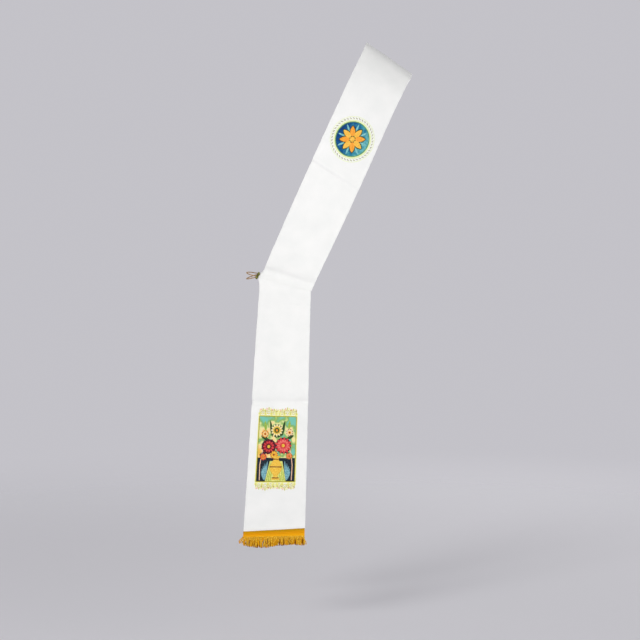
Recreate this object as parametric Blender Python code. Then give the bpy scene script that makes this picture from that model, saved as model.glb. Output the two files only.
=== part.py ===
"""A deacon's stole in its worn form: a stiff white band over the left shoulder that crosses to the right
hip in front and behind, turns there and hangs down, with a gold fringe at each end and a gold link
between the two halves at the hip.

Metres, +Z up. The wearer faces -Y, so the wearer's left shoulder is at +X. The origin is on the
underside of the cloth, in the middle of the top of the shoulder, which carries it.
"""

import math
from collections import namedtuple

import bpy
import bmesh
import numpy as np
from mathutils import Matrix, Vector

# Driving sizes of the cloth
CLOTH = 0.002
RIM = 0.0008  # how far the rounded edge of the cloth stands out
SEAM_GAP = 0.0003
WIDTH_AT_SHOULDER = 0.134
WIDTH_AT_HIP = 0.135
WIDTH_AT_HEM = 0.155
SHOULDER_TO_HIP = 0.6225
HIP_TO_HEM = 0.630
SHOULDER_DROP = 0.19  # from the top of the shoulder down to the full depth of the chest
SHOULDER_SEAM = -0.028  # over the cloth from the top of the shoulder, towards the front
LINK_PULL = 0.0052  # how far the link draws the hip corner outwards
LINK_PULL_REACH = 0.011

# One row for each section of a half: its distance from the shoulder or the hip in front view, the
# band's lean off plumb, the section's tilt off level, its turn towards the wearer's right side, how
# far it stands from the wearer's middle plane, and the bow of its middle. Degrees and metres.
Section = namedtuple("Section", "along lean tilt turn depth bow")
FRONT_UPPER = (
    Section(0.000, 19.0, 34.5, 0.0, 0.114, 0.000),
    Section(0.030, 24.0, 31.5, -2.0, 0.114, 0.001),
    Section(0.060, 26.5, 28.5, -4.0, 0.115, 0.002),
    Section(0.120, 25.0, 25.5, -8.0, 0.117, 0.003),
    Section(0.300, 24.5, 24.5, 0.0, 0.124, 0.004),
    Section(0.450, 24.5, 24.0, 9.0, 0.117, 0.004),
    Section(0.550, 24.5, 19.5, 16.0, 0.107, 0.004),
    Section(0.6225, 24.5, 13.4, 19.0, 0.101, 0.003),
)
FRONT_LOWER = (
    Section(0.000, 3.4, 13.4, 19.0, 0.101, 0.003),
    Section(0.070, 3.0, 5.0, 18.0, 0.102, 0.003),
    Section(0.160, 2.6, 2.0, 16.0, 0.107, 0.004),
    Section(0.400, 2.5, 1.0, 13.0, 0.121, 0.003),
    Section(0.550, 2.7, -1.0, 10.0, 0.129, 0.003),
    Section(0.630, 2.8, -2.9, 9.0, 0.134, 0.002),
)
BACK_UPPER = (
    Section(0.000, 19.0, 34.5, 0.0, 0.114, 0.000),
    Section(0.030, 24.0, 31.5, -1.0, 0.115, 0.001),
    Section(0.060, 26.5, 28.5, -3.0, 0.118, 0.002),
    Section(0.120, 25.0, 25.5, -5.0, 0.123, 0.003),
    Section(0.300, 24.5, 24.5, 2.0, 0.117, 0.003),
    Section(0.450, 24.5, 24.0, 10.0, 0.103, 0.004),
    Section(0.550, 24.5, 19.5, 16.0, 0.096, 0.004),
    Section(0.6225, 24.5, 13.4, 19.0, 0.095, 0.003),
)
BACK_LOWER = (
    Section(0.000, 4.9, 13.4, 19.0, 0.095, 0.003),
    Section(0.070, 4.1, 5.0, 17.0, 0.099, 0.003),
    Section(0.160, 2.9, 2.5, 15.0, 0.106, 0.004),
    Section(0.400, 2.6, 2.5, 12.0, 0.118, 0.003),
    Section(0.550, 2.5, 2.5, 10.0, 0.125, 0.003),
    Section(0.630, 2.5, 2.5, 9.0, 0.129, 0.002),
)

# Creases left by folding the stole away, and the break at the hip: distance from the shoulder in
# front view, how far the cloth stands out (or in, where negative), its reach above and below, and
# how much lower it runs at the wearer's left edge than in the middle.
Crease = namedtuple("Crease", "along rise above below slope")
CREASE_UNEVENNESS = 0.25
FRONT_CREASES = (
    Crease(0.3225, 0.0018, 0.015, 0.008, 0.0097),
    Crease(0.6030, -0.0042, 0.013, 0.030, 0.000),
    Crease(0.9165, -0.0034, 0.014, 0.022, -0.003),
    Crease(1.2205, -0.0022, 0.026, 0.010, -0.002),
)
BACK_CREASES = (
    Crease(0.3130, 0.0016, 0.013, 0.008, -0.006),
    Crease(0.6050, -0.0038, 0.014, 0.026, 0.002),
    Crease(0.9120, -0.0028, 0.016, 0.020, 0.003),
    Crease(1.2150, -0.0020, 0.024, 0.010, 0.002),
)

# Gold fringe
HEADER_HEIGHT = 0.0175
HEADER_THICKNESS = 0.0016
HEADER_BELOW_HEM = 0.001
HEADER_OVERHANG = 0.0008
STRANDS = 60
STRAND_SHARE = 0.68  # of the pitch, the rest is the gap between strands
STRAND_RINGS = ((0.5, 0.95), (1.0, 0.8))  # share of the strand's length, and of its thickness there
SWAY_SIDEWAYS = 0.0006
SWAY_OUTWARDS = 0.0014
SWAY_IN_LENGTH = 0.0008
Strand = namedtuple("Strand", "across length sideways")
STRAND_TABLE = (
    Strand(-1.00, 0.0130, -0.0030),
    Strand(-0.86, 0.0240, -0.0012),
    Strand(-0.60, 0.0262, 0.0004),
    Strand(-0.20, 0.0280, 0.0000),
    Strand(0.10, 0.0225, -0.0006),
    Strand(0.60, 0.0215, 0.0004),
    Strand(1.00, 0.0240, 0.0010),
)

# Gold link at the hip
HIP_CORNER_INSIDE = -0.97  # a place across the band, just inside the edge
BEAD_OUT, BEAD_TALL, BEAD_THICK = 0.0034, 0.0058, 0.0040  # half sizes
STRAND_RADIUS = 0.0013
LINK_HALF_GAP = 0.0016  # from the link's middle to each strand's, at the beads
LINK_HANDLE = 0.036  # length of the curve's handles, which sets how far it goes round the wearer's side
LINK_RISE = -0.009  # of the handles, from the height of the beads
LINK_SPREAD = 0.008  # of the handles, up for the top strand and down for the low one
LINK_STEPS = 22

# Steps of the walls' rings
ROW_STEP = 0.0255
COLUMNS = 8
REACHES = (-1.4, -0.7, 0.0, 0.7, 1.4)  # rows at each crease, in its own reach
PROBE = 0.001  # distance for measuring tangents
PATH_STEPS = 4000

HEM = SHOULDER_TO_HIP + HIP_TO_HEM
ROLL_ARC = SHOULDER_DROP * math.pi / 2


def read(table, column, along):
    """One column of a section table at each distance, on a smooth cubic through its rows."""
    places = np.array([row.along for row in table])
    values = np.array([getattr(row, column) for row in table])
    slopes = np.gradient(values, places)
    low = np.clip(np.searchsorted(places, along) - 1, 0, len(places) - 2)
    step = places[low + 1] - places[low]
    f = (along - places[low]) / step
    return (
        values[low] * (1 + 2 * f) * (1 - f) ** 2
        + values[low + 1] * f * f * (3 - 2 * f)
        + slopes[low] * step * f * (1 - f) ** 2
        - slopes[low + 1] * step * f * f * (1 - f)
    )


class Half:
    """The front or the back of the stole, from the top of the shoulder to the hem."""

    def __init__(self, upper, lower, creases):
        self.upper, self.lower, self.creases = upper, lower, creases
        self.places = np.linspace(0, HEM + HEADER_HEIGHT, PATH_STEPS)
        lean = np.radians(self.column("lean", self.places))
        steps = np.diff(self.places, prepend=0)
        self.side = -np.cumsum(np.sin(lean) * steps)
        self.height = -np.cumsum(np.cos(lean) * steps)

    def column(self, name, along):
        above = read(self.upper, name, np.minimum(along, SHOULDER_TO_HIP))
        below = read(self.lower, name, np.maximum(along - SHOULDER_TO_HIP, 0))
        return np.where(along <= SHOULDER_TO_HIP, above, below)

    def width(self, along):
        at = (0, SHOULDER_TO_HIP, HEM)
        return np.interp(along, at, (WIDTH_AT_SHOULDER, WIDTH_AT_HIP, WIDTH_AT_HEM))

    def crease_depth(self, along, across):
        depth = 0.0
        for crease in self.creases:
            past = along - crease.along - crease.slope * across
            reach = np.where(past < 0, crease.above, crease.below)
            uneven = 1 + CREASE_UNEVENNESS * np.sin(2 * across + math.tau * crease.along / WIDTH_AT_HIP)
            depth = depth + crease.rise * uneven * np.exp(-((past / reach) ** 2))
        return depth


FRONT = Half(FRONT_UPPER, FRONT_LOWER, FRONT_CREASES)
BACK = Half(BACK_UPPER, BACK_LOWER, BACK_CREASES)


def arc_of(along):
    """Distance over the cloth from the top of the shoulder to a distance in front view."""
    if along >= SHOULDER_DROP:
        return ROLL_ARC + along - SHOULDER_DROP
    return SHOULDER_DROP * math.acos(1 - along / SHOULDER_DROP)


def on_half(half, facing, arc, across):
    """Points of the underside of one half: facing is -1 in front and 1 behind."""
    turn_over = np.clip(arc / SHOULDER_DROP, 0, math.pi / 2)
    along = np.where(arc < ROLL_ARC, SHOULDER_DROP * (1 - np.cos(turn_over)), arc - ROLL_ARC + SHOULDER_DROP)
    roll = np.sin(turn_over)
    lean = np.radians(half.column("lean", along))
    tilt = np.radians(half.column("tilt", along))
    turn = np.radians(half.column("turn", along)) * roll
    reach = half.width(along) / np.cos((tilt - lean) * roll) / 2 * across
    pull = np.exp(-(((along - SHOULDER_TO_HIP) / LINK_PULL_REACH) ** 2))
    reach = reach - LINK_PULL * pull * np.clip(-across, 0, 2) ** 4
    bow = half.column("bow", along) * (1 - across**2)
    depth = (half.column("depth", along) + bow + half.crease_depth(along, across)) * roll
    return np.stack(
        [
            np.interp(along, half.places, half.side) + reach * np.cos(tilt) * np.cos(turn),
            facing * (depth + reach * np.sin(turn)),
            np.interp(along, half.places, half.height) - reach * np.sin(tilt) * np.cos(turn),
        ],
        axis=-1,
    )


def underside(arc, across):
    """Points of the underside. arc runs from the front hem, negative, over the shoulder at 0 to the back hem;
    across from -1, the neck and hip-side edge, to 1."""
    arc, across = np.broadcast_arrays(np.asarray(arc, float), np.asarray(across, float))
    front = on_half(FRONT, -1, np.abs(arc), across)
    back = on_half(BACK, 1, np.abs(arc), across)
    return np.where((arc < 0)[..., None], front, back)


def outward(arc, across):
    """Unit normals of the cloth, away from the wearer."""
    sideways = underside(arc, across + PROBE / WIDTH_AT_HIP) - underside(arc, across - PROBE / WIDTH_AT_HIP)
    lengthways = underside(arc + PROBE, across) - underside(arc - PROBE, across)
    normal = np.cross(sideways, lengthways)
    return normal / np.linalg.norm(normal, axis=-1, keepdims=True)


def raised(arc, across, by):
    return underside(arc, across) + outward(arc, across) * by


def material(name, colour, roughness, metallic=0.0):
    made = bpy.data.materials.new(name)
    made.use_nodes = True
    shader = made.node_tree.nodes["Principled BSDF"]
    shader.inputs["Base Color"].default_value = (*colour, 1)
    shader.inputs["Roughness"].default_value = roughness
    shader.inputs["Metallic"].default_value = metallic
    return made


def add_mesh(name, points, faces, finish, smooth_angle=40):
    mesh = bpy.data.meshes.new(name)
    mesh.from_pydata([tuple(p) for p in points], [], faces)
    shape = bmesh.new()
    shape.from_mesh(mesh)
    bmesh.ops.recalc_face_normals(shape, faces=shape.faces)
    bmesh.ops.triangulate(shape, faces=shape.faces)
    shape.to_mesh(mesh)
    shape.free()
    mesh.shade_smooth()
    mesh.set_sharp_from_angle(angle=math.radians(smooth_angle))
    mesh.materials.append(finish)
    made = bpy.data.objects.new(name, mesh)
    bpy.context.scene.collection.objects.link(made)
    return made


def rows_between(start, end):
    """Distances over the cloth at which a panel has rings: even ones, the creases' and the hip's."""
    own = [start + CLOTH, end - CLOTH]
    for half, facing in ((FRONT, -1), (BACK, 1)):
        for crease in half.creases:
            for step in REACHES:
                reach = crease.above if step < 0 else crease.below
                own.append(facing * arc_of(crease.along + step * reach))
            for step in REACHES:
                own.append(facing * arc_of(SHOULDER_TO_HIP + step * LINK_PULL_REACH))
    even = np.linspace(start, end, round((end - start) / ROW_STEP))
    own += [row for row in even if min(abs(row - other) for other in own) > ROW_STEP / 3]
    inside = sorted(row for row in own if start + CLOTH <= row <= end - CLOTH)
    apart = [row for k, row in enumerate(inside) if k == 0 or row - inside[k - 1] > CLOTH]
    return [start, *apart, end]


def wall_ring(arc):
    """One section of the wall: the outer face, a rounded edge, the underside and the other rounded edge."""
    across = np.linspace(-1, 1, COLUMNS + 1)
    inner, outer = raised(arc, across, 0), raised(arc, across, CLOTH)
    middle = (inner + outer) / 2
    out_right = (middle[-1] - middle[-2]) / np.linalg.norm(middle[-1] - middle[-2])
    out_left = (middle[0] - middle[1]) / np.linalg.norm(middle[0] - middle[1])
    return np.concatenate([outer, [middle[-1] + out_right * RIM], inner[::-1], [middle[0] + out_left * RIM]])


def panel(name, start, end, finish):
    """A band of cloth as one closed wall between two distances over the cloth."""
    rings = [wall_ring(row) for row in rows_between(start, end)]
    around = len(rings[0])
    last = (len(rings) - 1) * around
    faces = []
    for low in range(0, last, around):
        for k in range(around):
            after = (k + 1) % around
            faces.append((low + k, low + after, low + around + after, low + around + k))
    for first in (0, last):
        for k in range(COLUMNS):
            under = first + 2 * COLUMNS + 2 - k
            faces.append((first + k, first + k + 1, under - 1, under))
        faces.append((first + COLUMNS, first + COLUMNS + 1, first + COLUMNS + 2))
        faces.append((first, first + 2 * COLUMNS + 2, first + 2 * COLUMNS + 3))
    return add_mesh(name, np.concatenate(rings), faces, finish)


def wave(strand, strands_a_wave, seed):
    return math.sin(math.tau * strand / strands_a_wave + seed)


def strand_drop(strand, across, seed):
    """Where a strand's tip hangs from its root: as its neighbours do, with a little of its own."""
    places = [row.across for row in STRAND_TABLE]
    length = np.interp(across, places, [row.length for row in STRAND_TABLE])
    sideways = np.interp(across, places, [row.sideways for row in STRAND_TABLE])
    sideways += SWAY_SIDEWAYS * (wave(strand, 21, seed) + wave(strand, 9, 2 * seed) / 3)
    outwards = SWAY_OUTWARDS * wave(strand, 33, 2 * seed)
    return Vector((sideways, outwards, -length + SWAY_IN_LENGTH * wave(strand, 2.6, seed)))


def strand_columns():
    """Where the header's points lie across the band: a pair for each strand, and one at each end."""
    overhang = 1 + HEADER_OVERHANG / (WIDTH_AT_HEM / 2)
    pitch = 2 * overhang / STRANDS
    middles = -overhang + pitch * (np.arange(STRANDS) + 0.5)
    pairs = [(middle - pitch * STRAND_SHARE / 2, middle + pitch * STRAND_SHARE / 2) for middle in middles]
    return np.array([-overhang, *(place for pair in pairs for place in pair), overhang])


def header(facing, across):
    """Points and faces of a fringe's woven header, left open where its strands grow, and those openings."""
    top = facing * arc_of(HEM - HEADER_HEIGHT + HEADER_BELOW_HEM)
    low = facing * arc_of(HEM + HEADER_BELOW_HEM)
    near, far = CLOTH + SEAM_GAP, CLOTH + SEAM_GAP + HEADER_THICKNESS
    corners = ((top, near), (top, far), (low, far), (low, near))
    points = [tuple(p) for place, by in corners for p in raised(place, across, by)]
    count = len(across)
    rings = [[corner * count + k for corner in range(4)] for k in range(count)]
    faces, roots = [rings[0], rings[-1]], []
    for k in range(count - 1):
        here, after = rings[k], rings[k + 1]
        for corner in (0, 1, 3):
            around = (corner + 1) % 4
            faces.append((here[corner], here[around], after[around], after[corner]))
        underneath = (here[2], after[2], after[3], here[3])
        (roots if k % 2 else faces).append(underneath)
    return points, faces, roots


def grow_strand(points, faces, root, drop):
    corners = [Vector(points[i]) for i in root]
    centre = sum(corners, Vector()) / len(corners)
    above = root
    for share, thickness in STRAND_RINGS:
        shift = Vector((drop.x * share**2, drop.y * share**2, drop.z * share))
        ring = tuple(range(len(points), len(points) + len(corners)))
        points += [tuple(centre + shift + (corner - centre) * thickness) for corner in corners]
        for k in range(len(ring)):
            after = (k + 1) % len(ring)
            faces.append((above[k], above[after], ring[after], ring[k]))
        above = ring
    faces.append(above)


def fringe(name, facing, seed, finish):
    """A header laid on the outer face along the hem, with strands grown from its lower edge, as one body."""
    across = strand_columns()
    points, faces, roots = header(facing, across)
    for strand, root in enumerate(roots):
        grow_strand(points, faces, root, strand_drop(strand, across[1 + 2 * strand], seed))
    return add_mesh(name, points, faces, finish)


def hip_corner(facing):
    """The middle of the cloth's edge at the hip corner, the way out of that edge, and the way up along it."""
    arc = facing * arc_of(SHOULDER_TO_HIP)
    inside, edge = (Vector(p) for p in raised(arc, np.array([HIP_CORNER_INSIDE, -1]), CLOTH / 2))
    out = (edge - inside).normalized()
    face = Vector(outward(arc, HIP_CORNER_INSIDE))
    return edge + out * RIM, out, face.cross(out).normalized()


def bead(name, facing, finish):
    """A metal bead sewn to the hip corner of one half."""
    corner, out, up = hip_corner(facing)
    shape = bmesh.new()
    bmesh.ops.create_uvsphere(shape, u_segments=12, v_segments=8, radius=1)
    axes = Matrix((out * BEAD_OUT, out.cross(up) * BEAD_THICK, up * BEAD_TALL)).transposed()
    place = Matrix.Translation(corner + out * (BEAD_OUT + SEAM_GAP)) @ axes.to_4x4()
    bmesh.ops.transform(shape, matrix=place, verts=shape.verts)
    points = [tuple(v.co) for v in shape.verts]
    faces = [tuple(v.index for v in face.verts) for face in shape.faces]
    shape.free()
    return add_mesh(name, points, faces, finish)


def link_strand(name, above, finish):
    """One of the two gold strands from bead to bead, round the wearer's right side."""
    curve = bpy.data.curves.new(name, "CURVE")
    curve.dimensions = "3D"
    curve.bevel_depth = STRAND_RADIUS
    curve.bevel_resolution = 2
    curve.use_fill_caps = True
    curve.resolution_u = LINK_STEPS
    line = curve.splines.new("BEZIER")
    line.bezier_points.add(1)
    apart = Vector((0, 0, above * LINK_HALF_GAP))
    lift = Vector((0, 0, LINK_RISE + above * LINK_SPREAD))
    for point, facing in zip(line.bezier_points, (-1, 1)):
        corner, out, _ = hip_corner(facing)
        point.co = corner + out * (2 * BEAD_OUT + 3 * SEAM_GAP) + apart
        point.handle_left_type = point.handle_right_type = "FREE"
        point.handle_left = point.handle_right = point.co + out * LINK_HANDLE + lift
    curve.materials.append(finish)
    made = bpy.data.objects.new(name, curve)
    bpy.context.scene.collection.objects.link(made)
    return made


def main():
    for old in list(bpy.data.objects):
        bpy.data.objects.remove(old)
    white = material("white_cloth", (0.90, 0.91, 0.90), 0.62)
    gold = material("gold_fringe", (0.80, 0.42, 0.01), 0.55)
    cord = material("gold_cord", (0.70, 0.47, 0.20), 0.45)
    brass = material("brass_bead", (0.50, 0.42, 0.16), 0.30, metallic=1.0)
    seam = SEAM_GAP / 2
    hip, hem = arc_of(SHOULDER_TO_HIP), arc_of(HEM)
    shoulder_gap = seam * SHOULDER_DROP / FRONT_UPPER[0].depth
    panel("front_upper", -hip + seam, SHOULDER_SEAM - shoulder_gap, white)
    panel("back_upper", SHOULDER_SEAM + shoulder_gap, hip - seam, white)
    panel("front_lower", -hem, -hip - seam, white)
    panel("back_lower", hip + seam, hem, white)
    for side, facing in (("front", -1), ("back", 1)):
        fringe(f"{side}_fringe", facing, 1.0 + facing, gold)
        bead(f"{side}_bead", facing, brass)
    link_strand("link_strand_top", 1, cord)
    link_strand("link_strand_low", -1, cord)


main()
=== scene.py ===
"""The looks of a deacon's stole in its worn form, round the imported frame.

Metres, +Z up. The wearer faces -Y, and the origin is on the wearer's left shoulder. A place on the cloth
is an arc, from the front hem, negative, over the shoulder at 0 to the back hem, and a place across, from
-1, the neck and hip-side edge, to 1. A place in the stitched designs is (p, q) from the design's middle,
p to the wearer's left and q up.
"""

import math
from collections import namedtuple

import bpy
import bmesh
import numpy as np
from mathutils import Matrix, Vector


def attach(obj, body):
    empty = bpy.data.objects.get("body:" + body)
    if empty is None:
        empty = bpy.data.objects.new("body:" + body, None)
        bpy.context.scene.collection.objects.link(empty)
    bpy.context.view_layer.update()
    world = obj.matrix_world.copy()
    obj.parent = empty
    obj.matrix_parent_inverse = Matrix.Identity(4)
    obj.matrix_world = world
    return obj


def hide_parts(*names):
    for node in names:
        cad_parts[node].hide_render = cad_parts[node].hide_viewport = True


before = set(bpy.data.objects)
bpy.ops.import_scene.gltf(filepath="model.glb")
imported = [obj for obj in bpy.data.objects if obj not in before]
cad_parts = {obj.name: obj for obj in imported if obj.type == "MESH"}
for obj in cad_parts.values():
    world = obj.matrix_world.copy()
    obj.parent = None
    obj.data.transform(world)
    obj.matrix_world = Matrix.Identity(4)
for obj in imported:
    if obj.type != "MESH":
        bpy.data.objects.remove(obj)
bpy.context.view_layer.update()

# Driving sizes of the cloth, as in the solids
CLOTH = 0.002
RIM = 0.0008
SEAM_GAP = 0.0003
WIDTH_AT_SHOULDER = 0.134
WIDTH_AT_HIP = 0.135
WIDTH_AT_HEM = 0.155
SHOULDER_TO_HIP = 0.6225
HIP_TO_HEM = 0.630
SHOULDER_DROP = 0.19
SHOULDER_SEAM = -0.028
LINK_PULL = 0.0052
LINK_PULL_REACH = 0.011

Section = namedtuple("Section", "along lean tilt turn depth bow")
FRONT_UPPER = (
    Section(0.000, 19.0, 34.5, 0.0, 0.114, 0.000),
    Section(0.030, 24.0, 31.5, -2.0, 0.114, 0.001),
    Section(0.060, 26.5, 28.5, -4.0, 0.115, 0.002),
    Section(0.120, 25.0, 25.5, -8.0, 0.117, 0.003),
    Section(0.300, 24.5, 24.5, 0.0, 0.124, 0.004),
    Section(0.450, 24.5, 24.0, 9.0, 0.117, 0.004),
    Section(0.550, 24.5, 19.5, 16.0, 0.107, 0.004),
    Section(0.6225, 24.5, 13.4, 19.0, 0.101, 0.003),
)
FRONT_LOWER = (
    Section(0.000, 3.4, 13.4, 19.0, 0.101, 0.003),
    Section(0.070, 3.0, 5.0, 18.0, 0.102, 0.003),
    Section(0.160, 2.6, 2.0, 16.0, 0.107, 0.004),
    Section(0.400, 2.5, 1.0, 13.0, 0.121, 0.003),
    Section(0.550, 2.7, -1.0, 10.0, 0.129, 0.003),
    Section(0.630, 2.8, -2.9, 9.0, 0.134, 0.002),
)
BACK_UPPER = (
    Section(0.000, 19.0, 34.5, 0.0, 0.114, 0.000),
    Section(0.030, 24.0, 31.5, -1.0, 0.115, 0.001),
    Section(0.060, 26.5, 28.5, -3.0, 0.118, 0.002),
    Section(0.120, 25.0, 25.5, -5.0, 0.123, 0.003),
    Section(0.300, 24.5, 24.5, 2.0, 0.117, 0.003),
    Section(0.450, 24.5, 24.0, 10.0, 0.103, 0.004),
    Section(0.550, 24.5, 19.5, 16.0, 0.096, 0.004),
    Section(0.6225, 24.5, 13.4, 19.0, 0.095, 0.003),
)
BACK_LOWER = (
    Section(0.000, 4.9, 13.4, 19.0, 0.095, 0.003),
    Section(0.070, 4.1, 5.0, 17.0, 0.099, 0.003),
    Section(0.160, 2.9, 2.5, 15.0, 0.106, 0.004),
    Section(0.400, 2.6, 2.5, 12.0, 0.118, 0.003),
    Section(0.550, 2.5, 2.5, 10.0, 0.125, 0.003),
    Section(0.630, 2.5, 2.5, 9.0, 0.129, 0.002),
)

Crease = namedtuple("Crease", "along rise above below slope")
CREASE_UNEVENNESS = 0.25
FRONT_CREASES = (
    Crease(0.3225, 0.0018, 0.015, 0.008, 0.0097),
    Crease(0.6030, -0.0042, 0.013, 0.030, 0.000),
    Crease(0.9165, -0.0034, 0.014, 0.022, -0.003),
    Crease(1.2205, -0.0022, 0.026, 0.010, -0.002),
)
BACK_CREASES = (
    Crease(0.3130, 0.0016, 0.013, 0.008, -0.006),
    Crease(0.6050, -0.0038, 0.014, 0.026, 0.002),
    Crease(0.9120, -0.0028, 0.016, 0.020, 0.003),
    Crease(1.2150, -0.0020, 0.024, 0.010, 0.002),
)

# Pressed folds, sharper than the creases that they run in
FRONT_FOLDS = (
    Crease(0.3265, -0.0034, 0.0050, 0.0090, 0.0097),
    Crease(0.6040, -0.0032, 0.0105, 0.0160, 0.000),
    Crease(0.6740, -0.0003, 0.0040, 0.0040, -0.008),
    Crease(0.9175, -0.0034, 0.0080, 0.0060, -0.003),
)
BACK_FOLDS = (
    Crease(0.3170, -0.0022, 0.0045, 0.0080, -0.006),
    Crease(0.6060, -0.0028, 0.0100, 0.0170, 0.002),
    Crease(0.9130, -0.0028, 0.0080, 0.0060, 0.003),
    Crease(1.0300, -0.0003, 0.0050, 0.0040, 0.006),
)
Wave = namedtuple("Wave", "length slant")
PUCKER = 0.0004  # along the turned-in edges
PUCKER_WAVES = (Wave(0.043, 2.0), Wave(0.0661, 5.0))
SOFT_WAVE = 0.0007
SOFT_WAVES = (Wave(0.27, 2.0), Wave(0.151, -2.1))
PHASE_BEHIND = 1.7
TURNED_EDGE = 0.0003  # extra height where the cloth is turned in along its edges
TURNED_EDGE_WIDTH = 0.0048
EDGE_ROUNDING = 0.0028
SEAM_VALLEY = 0.0008  # where the stitches pull the shoulder seam in
SEAM_VALLEY_REACH = 0.0020
PAINTED_SHADE_REACH_AT_SEAM = 0.0034  # how far the shade painted along the shoulder seam reaches
PAINTED_SHADE_FADE_AT_SEAM = (0.01, 0.05)  # from the middle, where the painted seam shade fades out towards the outer edge
# share of the cloth's colour kept where the painted seam shade is darkest
LIGHT_LEFT_BY_PAINTED_SHADE = 0.45
EDGE_FLARE = 0.0042  # how far the outer edge stands off the point of the shoulder
EDGE_FLARE_REACH = 0.105
PULL_FOLD = 0.0012  # folds that run from the link across the hip
PULL_FOLD_WIDTH = 0.0055
PULL_FOLD_LENGTH = 0.045
PULL_FOLD_ANGLES = (-38, -6, 22)
TUCK = 0.0030  # at the inner corner of the hip
TUCK_HEIGHT = 0.0035
TUCK_START = 0.84
EDGE_COLUMNS = (0, 0.00006, 0.00025, 0.0006, 0.0011, 0.0018, 0.0028, 0.004, 0.0048, 0.0058, 0.0085, 0.012)
MIDDLE_COLUMNS = 25
ROW = 0.0025
SEAM_ROUNDING = 0.00010
SEAM_ROWS = (0, 0.00001, 0.00004, 0.0001, 0.0010)
SEAM_LINE = 0.00002  # between the panels' edges where they meet

# Gold fringe
HEADER_HEIGHT = 0.0145
HEADER_SLANT = 0.006  # how much taller the heading is at its wearer's left end
HEADER_DROOP = 0.0035  # of its lower edge at the other end
HEADER_THICKNESS = 0.0016
HEADER_BELOW_HEM = 0.001
HEADER_OVERHANGS = {"front": 0.0003, "back": -0.0036}
HEADER_RIBS = (0.0, 0.13, 0.34, 0.56, 0.80, 1.0)
HEADER_STEP = 0.0006
HEADER_TWIST = 0.0021  # between the strands of a rib
RIB_ROWS = 6
Strand = namedtuple("Strand", "across length sideways")
STRAND_TABLE = (
    Strand(-1.00, 0.0130, -0.0045),
    Strand(-0.90, 0.0225, -0.0020),
    Strand(-0.60, 0.0262, 0.0004),
    Strand(-0.20, 0.0275, 0.0000),
    Strand(0.10, 0.0225, -0.0006),
    Strand(0.60, 0.0215, 0.0004),
    Strand(1.00, 0.0235, 0.0002),
)
Layer = namedtuple("Layer", "yarns tuft gather lean curl short")
LAYERS = (
    Layer(150, 0.0055, 0.15, 0.0008, 0.0004, 0.00),
    Layer(150, 0.0062, 0.42, 0.0024, 0.0013, 0.02),
    Layer(112, 0.0053, 0.52, 0.0030, 0.0019, 0.06),
)
YARN_RADIUS = 0.00074
YARN_RINGS = 14
YARN_SIDES = 6
YARN_TWIST = 0.0042
YARN_SEED = 11
YARN_ROOT = 0.0015  # above the hem
YARN_HIDDEN = 0.0025  # of each yarn, behind the heading
YARN_LENGTHS = (0.93, 1.03)
YARN_SIZES = (0.88, 1.1)
YARN_CURLS = (0.4, 1.3)
YARN_STRAY = 0.0005
YARN_PLACE_STRAY = 0.004
YARN_DRIFT = (0.0004, 0.0006)

# Gold link at the hip
HIP_CORNER_INSIDE = -0.97
BEAD_OUT, BEAD_TALL, BEAD_THICK = 0.0034, 0.0058, 0.0040
BEAD_FLUTES = 10
SIDES_A_FLUTE = 6
FLUTE_DEPTH = 0.10
BEAD_RINGS = 25
BEAD_BAND, BEAD_BAND_RISE = 0.2, 0.04  # half its height in radians, and how far it stands out
CORD_RADIUS = 0.0013
PLY_RADIUS = 0.00062
PLY_SIDES = 8
PLIES = 3
CORD_TWIST = 0.0085
CORD_STEPS = 260
LINK_HALF_GAP = 0.0016
LINK_HANDLE = 0.036
LINK_RISE = -0.009
LINK_SPREAD = 0.008

# Stitched designs
STITCH = 0.0009
STITCH_SAMPLES = 3
SATIN_COLUMNS = 5
WIDE_SATIN = 0.006  # half width at which a band takes two more columns
GROUND_RISE, FINE_RISE, LEAF_RISE, BOLD_RISE = 0.0003, 0.0004, 0.0005, 0.0006  # heights of stitching
THREAD_RELIEF = 0.00012
UNDER_CLOTH = 0.0003
EMBLEM_ARC, EMBLEM_ACROSS = -0.3339, 0.02
EMBLEM_WIDE = 0.955
DISC_RADIUS = 0.0430
PANEL_ARC, PANEL_ACROSS = -1.1419, -0.04
PANEL_SKEW = -0.03
PANEL_HALF_WIDTH, PANEL_HALF_HEIGHT = 0.0485, 0.0815

# Weave and fuzz: pitch and angle of the ridges, and depths
TWILL = (0.0008, 63)
WEFT = (0.0005, 90)
WEAVE_DEPTH = 0.00006
FUZZ_SCALE = 2600.0
FUZZ_DEPTH = 0.00008

# Camera and floor
PHOTO_PIXELS = 640
METRES_A_PIXEL = 0.0025
LOOK_AT = Vector((-0.1725, -0.10, -0.655))
CAMERA_AT = Vector((-0.1725, -5.10, -0.28))
SENSOR = 36
FLOOR = -1.43
FLOOR_RADIUS = 6
FLOOR_FADE = (0.7, 3.2)
FLOOR_COLOUR = (0.74, 0.73, 0.76, 1)

HEM = SHOULDER_TO_HIP + HIP_TO_HEM
ROLL_ARC = SHOULDER_DROP * math.pi / 2
PROBE = 0.001
PATH_STEPS = 4000


def read(table, column, along):
    """One column of a section table at each distance, on a smooth cubic through its rows."""
    places = np.array([row.along for row in table])
    values = np.array([getattr(row, column) for row in table])
    slopes = np.gradient(values, places)
    low = np.clip(np.searchsorted(places, along) - 1, 0, len(places) - 2)
    step = places[low + 1] - places[low]
    f = (along - places[low]) / step
    return (
        values[low] * (1 + 2 * f) * (1 - f) ** 2
        + values[low + 1] * f * f * (3 - 2 * f)
        + slopes[low] * step * f * (1 - f) ** 2
        - slopes[low + 1] * step * f * f * (1 - f)
    )


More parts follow.
